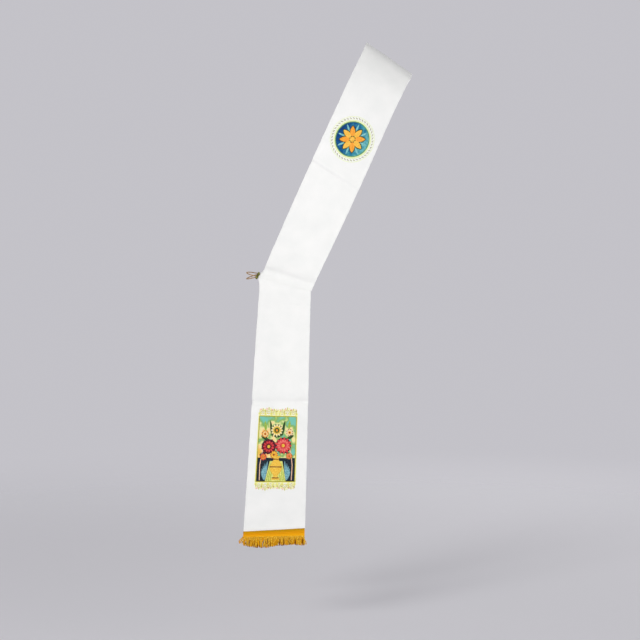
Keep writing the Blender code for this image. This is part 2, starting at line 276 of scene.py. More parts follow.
def crease_depth(creases, along, across):
    depth = 0.0
    for crease in creases:
        past = along - crease.along - crease.slope * across
        reach = np.where(past < 0, crease.above, crease.below)
        uneven = 1 + CREASE_UNEVENNESS * np.sin(2 * across + math.tau * crease.along / WIDTH_AT_HIP)
        depth = depth + crease.rise * uneven * np.exp(-((past / reach) ** 2))
    return depth


class Half:
    """The front or the back of the stole, from the top of the shoulder to the hem."""

    def __init__(self, upper, lower, creases, folds):
        self.upper, self.lower, self.creases, self.folds = upper, lower, creases, folds
        self.places = np.linspace(0, HEM + HEADER_HEIGHT, PATH_STEPS)
        lean = np.radians(self.column("lean", self.places))
        steps = np.diff(self.places, prepend=0)
        self.side = -np.cumsum(np.sin(lean) * steps)
        self.height = -np.cumsum(np.cos(lean) * steps)

    def column(self, name, along):
        above = read(self.upper, name, np.minimum(along, SHOULDER_TO_HIP))
        below = read(self.lower, name, np.maximum(along - SHOULDER_TO_HIP, 0))
        return np.where(along <= SHOULDER_TO_HIP, above, below)


FRONT = Half(FRONT_UPPER, FRONT_LOWER, FRONT_CREASES, FRONT_FOLDS)
BACK = Half(BACK_UPPER, BACK_LOWER, BACK_CREASES, BACK_FOLDS)


def arc_of(along):
    """Distance over the cloth from the top of the shoulder to a distance in front view."""
    if along >= SHOULDER_DROP:
        return ROLL_ARC + along - SHOULDER_DROP
    return SHOULDER_DROP * math.acos(1 - along / SHOULDER_DROP)


def along_of(arc):
    """Distance in front view from the top of the shoulder, and how far the cloth has turned down, 0 to 1."""
    turn_over = np.clip(arc / SHOULDER_DROP, 0, math.pi / 2)
    along = np.where(arc < ROLL_ARC, SHOULDER_DROP * (1 - np.cos(turn_over)), arc - ROLL_ARC + SHOULDER_DROP)
    return along, np.sin(turn_over)


def half_width(along):
    at = (0, SHOULDER_TO_HIP, HEM)
    return np.interp(along, at, (WIDTH_AT_SHOULDER / 2, WIDTH_AT_HIP / 2, WIDTH_AT_HEM / 2))


def on_half(half, facing, arc, across):
    """Points of the underside of one half: facing is -1 in front and 1 behind."""
    along, roll = along_of(arc)
    lean = np.radians(half.column("lean", along))
    tilt = np.radians(half.column("tilt", along))
    turn = np.radians(half.column("turn", along)) * roll
    reach = half_width(along) / np.cos((tilt - lean) * roll) * across
    pull = np.exp(-(((along - SHOULDER_TO_HIP) / LINK_PULL_REACH) ** 2))
    reach = reach - LINK_PULL * pull * np.clip(-across, 0, 2) ** 4
    reach = reach + EDGE_FLARE * np.exp(-((arc / EDGE_FLARE_REACH) ** 6)) * np.clip(across, 0, 2) ** 5
    bow = half.column("bow", along) * (1 - across**2)
    depth = (half.column("depth", along) + bow + crease_depth(half.creases, along, across)) * roll
    return np.stack(
        [
            np.interp(along, half.places, half.side) + reach * np.cos(tilt) * np.cos(turn),
            facing * (depth + reach * np.sin(turn)),
            np.interp(along, half.places, half.height) - reach * np.sin(tilt) * np.cos(turn),
        ],
        axis=-1,
    )


def underside(arc, across):
    arc, across = np.broadcast_arrays(np.asarray(arc, float), np.asarray(across, float))
    front = on_half(FRONT, -1, np.abs(arc), across)
    back = on_half(BACK, 1, np.abs(arc), across)
    return np.where((arc < 0)[..., None], front, back)


def outward(arc, across):
    """Unit normals of the cloth, away from the wearer."""
    sideways = underside(arc, across + PROBE / WIDTH_AT_HIP) - underside(arc, across - PROBE / WIDTH_AT_HIP)
    lengthways = underside(arc + PROBE, across) - underside(arc - PROBE, across)
    normal = np.cross(sideways, lengthways)
    return normal / np.linalg.norm(normal, axis=-1, keepdims=True)


def pull_folds(down, across):
    """Soft ridges that run out from the link, and the tuck at the inner corner across from it."""
    in_from_link = (across + 1) * WIDTH_AT_HIP / 2
    rise = 0.0
    for angle in np.radians(PULL_FOLD_ANGLES):
        off = in_from_link * np.sin(angle) - down * np.cos(angle)
        reach = in_from_link * np.cos(angle) + down * np.sin(angle)
        fade = np.clip(reach / PULL_FOLD_WIDTH, 0, 1) * np.exp(-np.abs(reach) / PULL_FOLD_LENGTH)
        rise = rise + PULL_FOLD * fade * np.exp(-((off / PULL_FOLD_WIDTH) ** 2))
    corner = np.clip((across - TUCK_START) / (1 - TUCK_START), 0, 1) ** 2
    return rise - TUCK * corner * np.exp(-(((down + TUCK_HEIGHT) / TUCK_HEIGHT) ** 2))


def relief(arc, across):
    """Finer form than the creases: pressed folds, puckered edges, soft waves and the shoulder seam."""
    along, _ = along_of(np.abs(arc))
    behind = arc > 0
    rise = np.where(behind, *(crease_depth(half.folds, along, across) for half in (BACK, FRONT)))
    later = PHASE_BEHIND * behind
    first, second = (math.tau * arc / wave.length + wave.slant * across for wave in PUCKER_WAVES)
    rise = rise + PUCKER * np.abs(across) ** 6 * (np.sin(first + later) + 0.6 * np.sin(second))
    first, second = (math.tau * arc / wave.length + wave.slant * across for wave in SOFT_WAVES)
    rise = rise + SOFT_WAVE * np.sin(first + later) * np.cos(second)
    rise = rise - SEAM_VALLEY * np.exp(-(((arc - SHOULDER_SEAM) / SEAM_VALLEY_REACH) ** 2))
    return rise + pull_folds(along - SHOULDER_TO_HIP, across)


def surface(arc, across, by):
    """Points at a height over the underside, with the cloth's finer form."""
    height = by + relief(np.asarray(arc, float), np.asarray(across, float))
    return underside(arc, across) + outward(arc, across) * np.asarray(height)[..., None]


def put(name, data, at=(0, 0, 0)):
    made = bpy.data.objects.new(name, data)
    made.location = at
    bpy.context.scene.collection.objects.link(made)
    return made


def add_object(name, points, faces, finish, uv=None, sharp=40):
    """One mesh piece on the only body. uv has one (u, v) for each point, and sharp is in degrees."""
    mesh = bpy.data.meshes.new(name)
    mesh.from_pydata(np.asarray(points).tolist(), [], faces)
    if uv is not None:
        layer = mesh.uv_layers.new(name="flat")
        corners = np.empty(len(mesh.loops), dtype=np.int32)
        mesh.loops.foreach_get("vertex_index", corners)
        layer.data.foreach_set("uv", np.asarray(uv)[corners].ravel().astype(np.float32))
    shape = bmesh.new()
    shape.from_mesh(mesh)
    bmesh.ops.remove_doubles(shape, verts=shape.verts, dist=1e-6)
    bmesh.ops.recalc_face_normals(shape, faces=shape.faces)
    shape.to_mesh(mesh)
    shape.free()
    mesh.shade_smooth()
    mesh.set_sharp_from_angle(angle=math.radians(sharp))
    mesh.materials.append(finish)
    made = put(name, mesh)
    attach(made, "root")
    return made


def tube_faces(rings, around, first=0, closed=False):
    """Quads between rings of points numbered one after another, and end caps unless it is closed."""
    faces = []
    for r in range(rings if closed else rings - 1):
        low, high = first + r * around, first + (r + 1) % rings * around
        for k in range(around):
            after = (k + 1) % around
            faces.append((low + k, low + after, high + after, high + k))
    if not closed:
        last = first + (rings - 1) * around
        faces.append(tuple(range(first, first + around)))
        faces.append(tuple(range(last, last + around)))
    return faces


def rounding(distance, radius):
    """0 at an edge, 1 past its rounding."""
    return np.sqrt(np.clip(1 - (1 - np.minimum(distance, radius) / radius) ** 2, 0, 1))


def tone(red, green, blue):
    """A colour as a screen shows it, 0 to 255, in the linear values that materials take."""
    shares = [part / 255 for part in (red, green, blue)]
    return tuple(part / 12.92 if part <= 0.04045 else ((part + 0.055) / 1.055) ** 2.4 for part in shares)


def new_material(name, roughness, metallic=0.0, sheen=0.0, shine=0.1):
    made = bpy.data.materials.new(name)
    made.use_nodes = True
    shader = made.node_tree.nodes["Principled BSDF"]
    shader.inputs["Roughness"].default_value = roughness
    shader.inputs["Metallic"].default_value = metallic
    shader.inputs["Specular IOR Level"].default_value = shine
    shader.inputs["Sheen Weight"].default_value = sheen
    shader.inputs["Sheen Roughness"].default_value = 0.4
    return made, made.node_tree, shader


def node(tree, kind, **inputs):
    """A shader node with its inputs set by name, where _ stands for a space; a socket is linked."""
    made = tree.nodes.new(kind)
    for name, value in inputs.items():
        socket = made.inputs[name.replace("_", " ")]
        if isinstance(value, bpy.types.NodeSocket):
            tree.links.new(value, socket)
        else:
            socket.default_value = value
    return made


def math_node(tree, operation, *values):
    made = tree.nodes.new("ShaderNodeMath")
    made.operation = operation
    for socket, value in zip(made.inputs, values):
        if isinstance(value, bpy.types.NodeSocket):
            tree.links.new(value, socket)
        else:
            socket.default_value = value
    return made.outputs[0]


def ramp(tree, factor, stops):
    """Colours between (place, colour) stops, linked to a factor of 0 to 1."""
    made = node(tree, "ShaderNodeValToRGB", Fac=factor)
    while len(made.color_ramp.elements) < len(stops):
        made.color_ramp.elements.new(0.5)
    for element, (place, colour) in zip(made.color_ramp.elements, stops):
        element.position = place
        element.color = (*colour, 1)
    return made.outputs["Color"]


def ridges(tree, vector, pitch, turn):
    """Fine parallel ridges of a pitch in metres, turned by an angle in degrees. The texture itself repeats
    every tau / 20."""
    turned = node(tree, "ShaderNodeMapping", Vector=vector, Rotation=(0, 0, math.radians(turn)))
    wave = node(tree, "ShaderNodeTexWave", Vector=turned.outputs["Vector"], Scale=math.tau / 20 / pitch)
    return wave.outputs["Fac"]


def bump(tree, shader, height, distance, strength):
    made = node(tree, "ShaderNodeBump", Height=height, Distance=distance, Strength=strength)
    tree.links.new(made.outputs["Normal"], shader.inputs["Normal"])


def take_colour(tree, shader, colour):
    tree.links.new(colour, shader.inputs["Base Color"])


def fuzz(tree, shader, where):
    fine = node(tree, "ShaderNodeTexNoise", Vector=where, Scale=FUZZ_SCALE, Detail=1.0)
    bump(tree, shader, fine.outputs["Fac"], FUZZ_DEPTH, 0.5)


def painted_shade_at_seam(tree, uv):
    """Painted shade along the shoulder seam, as the share of the cloth's colour kept: least just in front of
    its line, full towards the outer edge.
    """
    parts = node(tree, "ShaderNodeSeparateXYZ", Vector=uv).outputs
    past_seam = math_node(tree, "SUBTRACT", parts["Y"], SHOULDER_SEAM - PAINTED_SHADE_REACH_AT_SEAM / 2)
    past_seam = math_node(tree, "ABSOLUTE", past_seam)
    light = node(tree, "ShaderNodeMapRange", Value=past_seam, From_Max=PAINTED_SHADE_REACH_AT_SEAM, To_Min=LIGHT_LEFT_BY_PAINTED_SHADE)
    light.interpolation_type = "SMOOTHSTEP"
    start, end = PAINTED_SHADE_FADE_AT_SEAM
    fade = node(tree, "ShaderNodeMapRange", Value=parts["X"], From_Min=start, From_Max=end)
    return math_node(tree, "MAXIMUM", light.outputs["Result"], fade.outputs["Result"])


def cloth_material():
    """White satin-faced twill: fine slanted ridges, faint cross threads, and shade painted along the
    shoulder seam.
    """
    made, tree, shader = new_material("white_twill", 0.55, sheen=0.1, shine=0.3)
    uv = tree.nodes.new("ShaderNodeTexCoord").outputs["UV"]
    twill, weft = (ridges(tree, uv, pitch, turn) for pitch, turn in (TWILL, WEFT))
    bump(tree, shader, math_node(tree, "ADD", twill, weft), WEAVE_DEPTH, 0.6)
    soft = node(tree, "ShaderNodeTexNoise", Vector=uv, Scale=22.0, Detail=3.0)
    colour = ramp(tree, soft.outputs["Fac"], ((0.25, tone(238, 239, 235)), (0.75, tone(245, 245, 241))))
    # the cloth's colour darkened by the painted seam shade
    shaded = node(tree, "ShaderNodeVectorMath", Vector=colour)
    shaded.operation = "SCALE"
    tree.links.new(painted_shade_at_seam(tree, uv), shaded.inputs["Scale"])
    take_colour(tree, shader, shaded.outputs["Vector"])
    return made


def thread_material(name, dark, light, roughness=0.5):
    """Embroidery or fringe thread, uneven in colour from one thread to the next."""
    made, tree, shader = new_material(name, roughness)
    where = tree.nodes.new("ShaderNodeTexCoord").outputs["Object"]
    spots = node(tree, "ShaderNodeTexNoise", Vector=where, Scale=420.0, Detail=2.0, Roughness=0.6)
    take_colour(tree, shader, ramp(tree, spots.outputs["Fac"], ((0.32, tone(*dark)), (0.68, tone(*light)))))
    fuzz(tree, shader, where)
    return made


def shaded_material(name, stops, p_share, q_share, spots, spot_scale):
    """Thread whose colour changes over a design: so much for each metre of p and q, and in soft spots."""
    made, tree, shader = new_material(name, 0.5)
    uv = tree.nodes.new("ShaderNodeTexCoord").outputs["UV"]
    parts = node(tree, "ShaderNodeSeparateXYZ", Vector=uv).outputs
    noise = node(tree, "ShaderNodeTexNoise", Vector=uv, Scale=spot_scale, Detail=2.0)
    factor = math_node(tree, "MULTIPLY_ADD", parts["X"], p_share, 0.5 - spots / 2)
    factor = math_node(tree, "MULTIPLY_ADD", parts["Y"], q_share, factor)
    factor = math_node(tree, "MULTIPLY_ADD", noise.outputs["Fac"], spots, factor)
    take_colour(tree, shader, ramp(tree, factor, [(place, tone(*shade)) for place, shade in stops]))
    fuzz(tree, shader, uv)
    return made


def brass_material():
    """Aged brass: darker and greener in some soft spots, brighter in others, with a faint bump from the same
    spots.
    """
    made, tree, shader = new_material("aged_brass", 0.36, metallic=1.0)
    where = tree.nodes.new("ShaderNodeTexCoord").outputs["Object"]
    age = node(tree, "ShaderNodeTexNoise", Vector=where, Scale=260.0, Detail=3.0)
    stops = ((0.38, tone(82, 88, 38)), (0.66, tone(158, 150, 78)))
    take_colour(tree, shader, ramp(tree, age.outputs["Fac"], stops))
    bump(tree, shader, age.outputs["Fac"], 0.0001, 0.4)
    return made


WHITE = cloth_material()
# Copies of one gold yarn for the fringe's layers: the back layer's is painted darker as shade, the front
# layer's lighter with painted highlights.
GOLDS_PAINTED_SHADE_TO_HIGHLIGHT = (
    thread_material("gold_yarn_painted_shade", (96, 52, 2), (160, 98, 4)),
    thread_material("gold_yarn", (202, 134, 2), (240, 178, 14)),
    thread_material("gold_yarn_painted_highlight", (186, 118, 2), (254, 214, 72)),
)
CORD = thread_material("gold_cord", (126, 92, 54), (222, 184, 134), roughness=0.4)
BRASS = brass_material()
HEADING_COLOURS = (
    (0.06, (192, 146, 0)), (0.30, (220, 152, 0)), (0.60, (236, 162, 2)), (0.90, (250, 184, 16)),
)
HEADING = shaded_material("gold_heading", HEADING_COLOURS, 0.0, -1.0, 0.12, 90.0)


def panel_rows(start, end):
    """Places along a panel: even ones, and finer ones at its ends, where the cloth is rounded."""
    even = np.linspace(start + SEAM_ROWS[-1], end - SEAM_ROWS[-1], round((end - start) / ROW))
    finer = np.array(SEAM_ROWS[:-1])
    return np.concatenate([start + finer, even, (end - finer)[::-1]])


def panel_shell(name, start, end):
    """A band of cloth with turned-in, rounded edges, as one closed shell."""
    rows = panel_rows(start, end)
    along, _ = along_of(np.abs(rows))
    half = half_width(along)[:, None]
    left = -1 + (np.array(EDGE_COLUMNS)[None, :] - RIM) / half
    middle = left[:, -1:] * np.linspace(1, -1, MIDDLE_COLUMNS)[None, 1:-1]
    across = np.concatenate([left, middle, -left[:, ::-1]], axis=1)
    arc = np.broadcast_to(rows[:, None], across.shape)
    edge = (1 + RIM / half - np.abs(across)) * half
    to_end = np.minimum(rows - start, end - rows)[:, None]
    share = rounding(edge, EDGE_ROUNDING) * rounding(to_end, SEAM_ROUNDING)
    swell = share * (CLOTH / 2 + TURNED_EDGE / (1 + (edge / TURNED_EDGE_WIDTH) ** 12))
    outer = surface(arc, across, CLOTH / 2 + swell)
    inner = surface(arc, across, CLOTH / 2 - swell)
    rings = np.concatenate([outer, inner[:, -2:0:-1]], axis=1)
    u = across * half
    flat = np.concatenate([u, u[:, -2:0:-1]], axis=1)
    uv = np.stack([flat, np.broadcast_to(rows[:, None], flat.shape)], -1)
    faces = tube_faces(len(rows), rings.shape[1])[:-2]
    piece = add_object(f"{name}_cloth", rings.reshape(-1, 3), faces, WHITE, uv.reshape(-1, 2))
    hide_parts(name)
    return piece


def fringe_heading(side, facing):
    """A woven heading of ribs, each of slanted strands that lean the other way from its neighbour's."""
    reach = 1 + HEADER_OVERHANGS[side] / (WIDTH_AT_HEM / 2)
    columns = round(reach * WIDTH_AT_HEM / HEADER_STEP)
    ribs = [np.linspace(low, high, RIB_ROWS + 1)[:-1] for low, high in zip(HEADER_RIBS, HEADER_RIBS[1:])]
    down = np.append(np.concatenate(ribs), 1.0)
    u, v = np.meshgrid(np.linspace(-reach, reach, columns), down, indexing="ij")
    rib = np.clip(np.searchsorted(HEADER_RIBS, v, side="right") - 1, 0, len(HEADER_RIBS) - 2)
    low, high = np.array(HEADER_RIBS)[rib], np.array(HEADER_RIBS)[rib + 1]
    in_rib = (v - low) / (high - low)
    round_top = np.clip(np.sin(math.pi * in_rib), 0, 1) ** 0.6
    lean = np.where(rib % 2 == 0, 1, -1) * in_rib * 0.8
    strands = 0.5 + 0.5 * np.cos(math.tau * (u * WIDTH_AT_HEM / 2 / HEADER_TWIST + lean))
    height = HEADER_THICKNESS * (0.45 + 0.40 * round_top + 0.25 * round_top * strands)
    tall = HEADER_HEIGHT + HEADER_SLANT * (u + 1) / 2
    droop = HEADER_DROOP * v * np.clip((-u - 0.7) / 0.3, 0, 1) ** 2
    arc = facing * (arc_of(HEM + HEADER_BELOW_HEM) + droop - tall * (1 - v))
    lying = CLOTH + SEAM_GAP + TURNED_EDGE
    outer = surface(arc, u, lying + height)
    inner = surface(arc[:, ::-6], u[:, ::-6], np.full_like(u[:, ::-6], lying))
    uv = np.stack([np.concatenate([c, c[:, ::-6]], axis=1) for c in (u, 0.5 - v)], -1)
    rings = np.concatenate([outer, inner], axis=1)
    faces = tube_faces(columns, rings.shape[1])
    name = f"{side}_fringe_heading"
    return add_object(name, rings.reshape(-1, 3), faces, HEADING, uv.reshape(-1, 2), 50)


def yarn(facing, depth, row, place, tuft, dice):
    """Rings of one two-ply hanging yarn, from behind the heading's lower edge to its cut end. tuft has the
    middle, the lean and the length of the tuft that it gathers into."""
    f = np.linspace(0, 1, YARN_RINGS)
    places = [strand.across for strand in STRAND_TABLE]
    length = np.interp(place, places, [strand.length for strand in STRAND_TABLE])
    length = length * (tuft[2] - row.short) * dice.uniform(*YARN_LENGTHS)
    sideways = np.interp(place, places, [strand.sideways for strand in STRAND_TABLE]) + tuft[1]
    sideways = sideways + row.gather * (tuft[0] - place) * WIDTH_AT_HEM / 2 + dice.normal(0, YARN_STRAY)
    curl, phase = row.curl * dice.uniform(*YARN_CURLS), dice.uniform(0, math.tau)
    root = surface(np.array(facing * (arc_of(HEM) - YARN_ROOT)), np.array(place), depth)
    hang = np.stack(
        [
            sideways * np.sin(math.pi / 2 * f) ** 1.2 + curl * np.sin(math.pi * 1.8 * f + phase) * f,
            facing * dice.normal(*YARN_DRIFT) * f + curl * np.cos(math.pi * 1.6 * f + phase) * f * 0.5,
            -(length + YARN_HIDDEN) * f,
        ],
        -1,
    )
    taper = 1 - 0.25 * np.clip((f - 0.85) / 0.15, 0, 1)
    radius = YARN_RADIUS * taper * dice.uniform(*YARN_SIZES)
    twist = phase + math.tau * f * length / YARN_TWIST
    turn = np.arange(YARN_SIDES) / YARN_SIDES * math.tau
    plied = radius[:, None] * (0.70 + 0.42 * np.abs(np.cos(turn[None, :] - twist[:, None])))
    rim = np.stack([plied * np.cos(turn), plied * np.sin(turn), np.zeros_like(plied)], -1)
    return (root + hang)[:, None, :] + rim


def fringe_yarns(side, facing, layer):
    """One layer of the cut fringe. Layer 0 is nearest the wearer, and its gold is painted darker as shade;
    the front layer's gold is painted lighter as highlight.
    """
    row = LAYERS[layer]
    dice = np.random.default_rng(YARN_SEED + facing + 10 * layer)
    tufts = round(WIDTH_AT_HEM / row.tuft)
    middles = np.linspace(-1, 1, tufts) + dice.normal(0, 0.25 / tufts, tufts)
    tufts = np.stack([middles, dice.normal(0, row.lean, tufts), dice.uniform(*YARN_LENGTHS, tufts)], -1)
    depth = CLOTH + SEAM_GAP + HEADER_THICKNESS * (0.20 + 0.35 * layer)
    reach = 1 + HEADER_OVERHANGS[side] / (WIDTH_AT_HEM / 2)
    points, faces = [], []
    for n in range(row.yarns):
        place = 2 * (n + 0.5) / row.yarns - 1 + dice.normal(0, YARN_PLACE_STRAY)
        place = reach * np.clip(place, -1, 1)
        tuft = tufts[np.argmin(np.abs(tufts[:, 0] - place))]
        faces += tube_faces(YARN_RINGS, YARN_SIDES, first=n * YARN_RINGS * YARN_SIDES)
        points.append(yarn(facing, depth, row, place, tuft, dice).reshape(-1, 3))
    name = f"{side}_fringe_yarns_{layer}"
    return add_object(name, np.concatenate(points), faces, GOLDS_PAINTED_SHADE_TO_HIGHLIGHT[layer], None, 60)


def hip_corner(facing):
    """The middle of the cloth's edge at the hip corner, and the ways out of that edge and up along it."""
    arc = facing * arc_of(SHOULDER_TO_HIP)
    flat = np.array([HIP_CORNER_INSIDE, -1])
    inside, edge = (Vector(p) for p in underside(arc, flat) + outward(arc, flat) * CLOTH / 2)
    out = (edge - inside).normalized()
    face = Vector(outward(arc, HIP_CORNER_INSIDE))
    return edge + out * RIM, out, face.cross(out).normalized()


def link_bead(side, facing):
    """A fluted brass bead, with a plain band round its middle."""
    corner, out, up = hip_corner(facing)
    through = out.cross(up)
    centre = corner + out * (BEAD_OUT + SEAM_GAP)
    around = BEAD_FLUTES * SIDES_A_FLUTE
    turn = np.arange(around) / around * math.tau
    hollow = 1 - np.abs(np.cos(turn * BEAD_FLUTES / 2))
    points = []
    for lift in np.linspace(-math.pi / 2, math.pi / 2, BEAD_RINGS)[1:-1]:
        banded = abs(lift) < BEAD_BAND
        flutes = 0 if banded else FLUTE_DEPTH * math.cos(lift)
        wide = (1 + BEAD_BAND_RISE * banded) * math.cos(lift) * (1 - flutes * hollow)
        for angle, share in zip(turn, wide):
            level = out * BEAD_OUT * math.cos(angle) + through * BEAD_THICK * math.sin(angle)
            points.append(tuple(centre + level * share + up * BEAD_TALL * math.sin(lift)))
    faces = tube_faces(BEAD_RINGS - 2, around)
    piece = add_object(f"{side}_link_bead", points, faces, BRASS, None, 25)
    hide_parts(f"{side}_bead")


def link_path(above):
    """Points of one strand of the link, round the wearer's right side."""
    ends = []
    lift = Vector((0, 0, LINK_RISE + above * LINK_SPREAD))
    for facing in (-1, 1):
        corner, out, _ = hip_corner(facing)
        start = corner + out * (2 * BEAD_OUT + 3 * SEAM_GAP) + Vector((0, 0, above * LINK_HALF_GAP))
        ends.append((start, start + out * LINK_HANDLE + lift))
    corners = [np.array(p) for p in (ends[0][0], ends[0][1], ends[1][1], ends[1][0])]
    f = np.linspace(0, 1, CORD_STEPS)[:, None]
    shares = ((1 - f) ** 3, 3 * f * (1 - f) ** 2, 3 * f * f * (1 - f), f**3)
    return sum(share * corner for share, corner in zip(shares, corners))


def unit(vectors):
    return vectors / np.linalg.norm(vectors, axis=-1, keepdims=True)


def spoke(angle):
    """Unit vectors at angles in radians, from p towards q."""
    return np.stack([np.cos(angle), np.sin(angle)], -1)


def link_cord(name, above):
    """A laid cord of three plies along one strand of the link."""
    path = link_path(above)
    ahead = unit(np.gradient(path, axis=0))
    side = unit(np.cross(ahead, (0, 0, 1)))
    upward = np.cross(side, ahead)
    run = np.concatenate([[0], np.cumsum(np.linalg.norm(np.diff(path, axis=0), axis=1))])
    turn = np.arange(PLY_SIDES) / PLY_SIDES * math.tau
    points, faces = [], []
    for ply in range(PLIES):
        angle = math.tau * (run / CORD_TWIST + ply / PLIES)
        out = side * np.cos(angle)[:, None] + upward * np.sin(angle)[:, None]
        centre = path + out * (CORD_RADIUS - PLY_RADIUS)
        flat = np.cross(out, unit(np.gradient(centre, axis=0)))
        rim = out[:, None] * np.cos(turn)[None, :, None] + flat[:, None] * np.sin(turn)[None, :, None]
        faces += tube_faces(len(run), PLY_SIDES, first=ply * len(run) * PLY_SIDES)
        points.append((centre[:, None] + rim * PLY_RADIUS).reshape(-1, 3))
    cord = name.replace("strand", "cord")
    piece = add_object(cord, np.concatenate(points), faces, CORD, None, 50)
    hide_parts(name)


class Design:
    """A stitched design whose middle lies at a place on the front: wide is its share of full width, and skew
    how much lower it runs for each metre to the wearer's left, where the cloth would have it level."""

    def __init__(self, name, arc, across, wide=1.0, skew=0.0):
        self.name, self.arc, self.across, self.wide, self.skew = name, arc, across, wide, skew
        along, _ = along_of(abs(np.array(arc)))
        self.half = half_width(along)
        self.pieces = []

    def lay(self, p, q, by):
        return surface(self.arc + q - self.skew * p, self.across + self.wide * p / self.half, CLOTH + by)

    def satin(self, axis, widths, height, finish, lying=0.0, closed=False, square=2.0):
        """A raised band of satin stitch along a flat path. axis is its (p, q) points, widths its half widths
        there, and square how flat its top is: 2 is round, more is flatter."""
        axis = np.array(axis, float)
        if closed:
            axis = np.concatenate([axis, axis[:1]])
            widths = list(widths) + [widths[0]]
        run = np.concatenate([[0], np.cumsum(np.linalg.norm(np.diff(axis, axis=0), axis=1))])
        steps = max(4, round(run[-1] / STITCH)) * STITCH_SAMPLES
        at = np.linspace(0, run[-1], steps + 1)
        centre = np.stack([np.interp(at, run, axis[:, k]) for k in (0, 1)], -1)
        half = np.interp(at, run, widths)
        ahead = np.gradient(centre, axis=0)
        if closed:
            ahead[0] = ahead[-1] = ahead[0] + ahead[-1]
            at, centre, half, ahead = at[:-1], centre[:-1], half[:-1], ahead[:-1]
        ahead = unit(ahead)
        sideways = np.stack([ahead[:, 1], -ahead[:, 0]], -1)
        columns = SATIN_COLUMNS + 2 * int(half.max() / WIDE_SATIN)
        v = np.sin(np.linspace(-1, 1, columns) * math.pi / 2)
        p, q = (centre[:, None, k] + sideways[:, None, k] * half[:, None] * v[None] for k in (0, 1))
        dome = (1 - np.abs(v) ** square) ** 0.5
        ridge = 0.5 - 0.5 * np.cos(math.tau * at / STITCH)
        rise = height * dome[None] + THREAD_RELIEF * np.minimum(dome * 2, 1)[None] * ridge[:, None]
        top = self.lay(p, q, lying + rise)
        low = self.lay(p[:, ::-2], q[:, ::-2], np.full_like(p[:, ::-2], -UNDER_CLOTH))
        rings = np.concatenate([top, low], axis=1)
        uv = np.stack([np.concatenate([c, c[:, ::-2]], axis=1) for c in (p, q)], -1)
        faces = tube_faces(len(at), rings.shape[1], closed=closed)
        name = f"{self.name}_{len(self.pieces)}"
        piece = add_object(name, rings.reshape(-1, 3), faces, finish, uv.reshape(-1, 2), 70)
        self.pieces.append(piece)

    def petal(self, middle, angle, inside, outside, half, height, finish, lying=0.0):
        """A pointed oval from one distance from middle to another, at an angle in degrees."""
        f = np.linspace(0, 1, 15)
        axis = np.array(middle) + spoke(math.radians(angle)) * (inside + (outside - inside) * f)[:, None]
        widths = half * np.sin(math.pi * f**0.85) ** 0.75 + 0.0002
        self.satin(axis, widths, height, finish, lying)

    def disc(self, middle, radius, height, finish, lying=0.0, square=6.0):
        f = np.linspace(-1, 1, 61)
        axis = np.array(middle) + np.stack([np.zeros_like(f), radius * f], -1)
        self.satin(axis, radius * np.sqrt(1 - f**2) + 0.0001, height, finish, lying, square=square)

    def ring(self, middle, radius, half, height, finish, lying=0.0):
        turn = np.linspace(0, math.tau, 120, endpoint=False)
        axis = np.array(middle) + radius * spoke(turn)
        self.satin(axis, [half] * len(axis), height, finish, lying, closed=True)

    def join(self):
        """Joins the stitched pieces that share a thread, and returns the joined pieces."""
        groups = {}
        for piece in self.pieces:
            groups.setdefault(piece.data.materials[0].name, []).append(piece)
        for finish, pieces in groups.items():
            with bpy.context.temp_override(active_object=pieces[0], selected_editable_objects=pieces):
                bpy.ops.object.join()
            pieces[0].name = pieces[0].data.name = f"{self.name}_{finish}"
        return [pieces[0] for pieces in groups.values()]


Ring = namedtuple("Ring", "out half height lying thread")
EMBLEM_RINGS = (
    Ring(0.0002, 0.0011, LEAF_RISE, 0.0002, "green"),
    Ring(0.0034, 0.0023, BOLD_RISE, 0.0, "pale"),
    Ring(0.0136, 0.0007, FINE_RISE, 0.0, "pale"),
)
Petal = namedtuple("Petal", "turn inside outside half height lying threads")
ROSETTE = (
    Petal(0.0, 0.005, 0.0350, 0.0088, GROUND_RISE, 0.0005, ("dark",)),
    Petal(0.0, 0.006, 0.0328, 0.0068, BOLD_RISE, 0.0006, ("marigold", "amber")),
    Petal(22.5, 0.0215, 0.0400, 0.0022, FINE_RISE, 0.0004, ("aqua",)),
)
ROSETTE_PETALS = 8
HEART_GROUND, HEART = 0.0088, 0.0066
WREATH_LEAVES = 42
WREATH_OUT, WREATH_LEAN, WREATH_LEAF = 0.0095, 58, 0.0034
EMBLEM_THREADS = {
    "marigold": ((236, 142, 36), (255, 182, 76)),
    "amber": ((236, 170, 48), (252, 206, 98)),
    "dark": ((18, 52, 40), (62, 84, 44)),
    "aqua": ((90, 170, 176), (160, 214, 206)),
    "pale": ((224, 236, 172), (242, 248, 206)),
    "beige": ((166, 168, 128), (204, 202, 168)),
    "green": ((74, 136, 82), (140, 178, 96)),
}
BLUES = ((0.08, (8, 50, 112)), (0.38, (16, 86, 140)), (0.62, (50, 136, 156)), (0.9, (112, 184, 184)))


def thread_set(colours):
    return {name: thread_material(f"{name}_thread", *pair) for name, pair in colours.items()}


